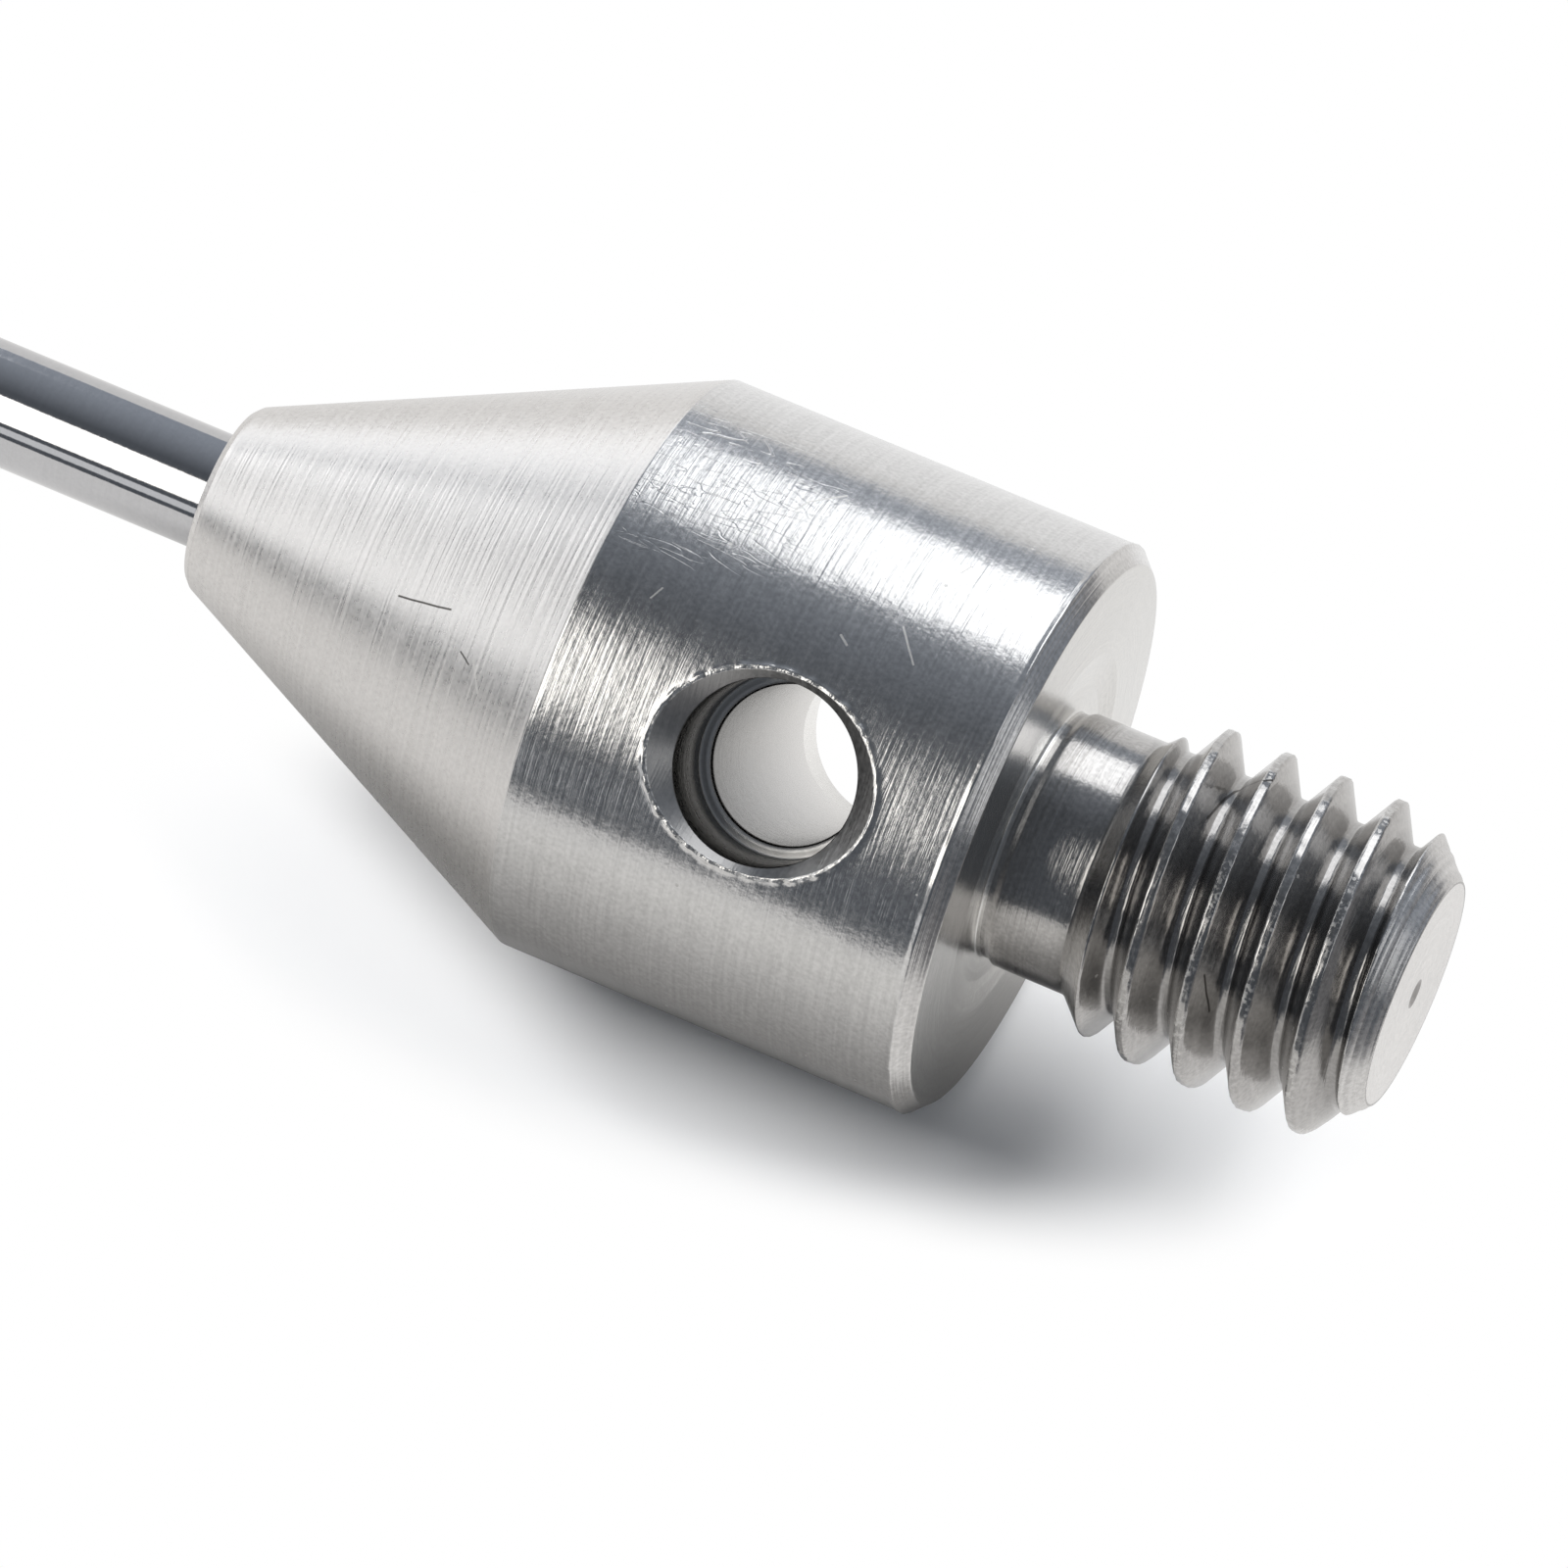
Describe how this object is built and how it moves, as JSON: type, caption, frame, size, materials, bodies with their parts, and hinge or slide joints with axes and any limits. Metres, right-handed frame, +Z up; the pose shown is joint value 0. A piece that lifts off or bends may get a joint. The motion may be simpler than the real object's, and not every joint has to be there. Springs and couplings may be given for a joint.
{
  "type": "cmm stylus",
  "caption": "Touch-probe stylus: ruby ball on a slim carbide stem, bonded into a conical steel holder with a cross hole for a pin and a threaded stud that screws into the probe.",
  "frame": {"origin": "middle of the shoulder face that seats on the probe, on the stylus axis", "axes": "+X along the stylus axis, the way the stud points; -X towards the ball; +Z up as the stylus lies in the picture"},
  "size_m": [0.0357, 0.007, 0.007],
  "materials": {
    "steel": "fine turned stainless steel, satin cone, brighter cylinder",
    "carbide": "polished tungsten carbide",
    "ruby": "polished synthetic ruby"
  },
  "bodies": {
    "root": {"holder": "steel", "stem": "carbide", "ball": "ruby"}
  },
  "joints": []
}
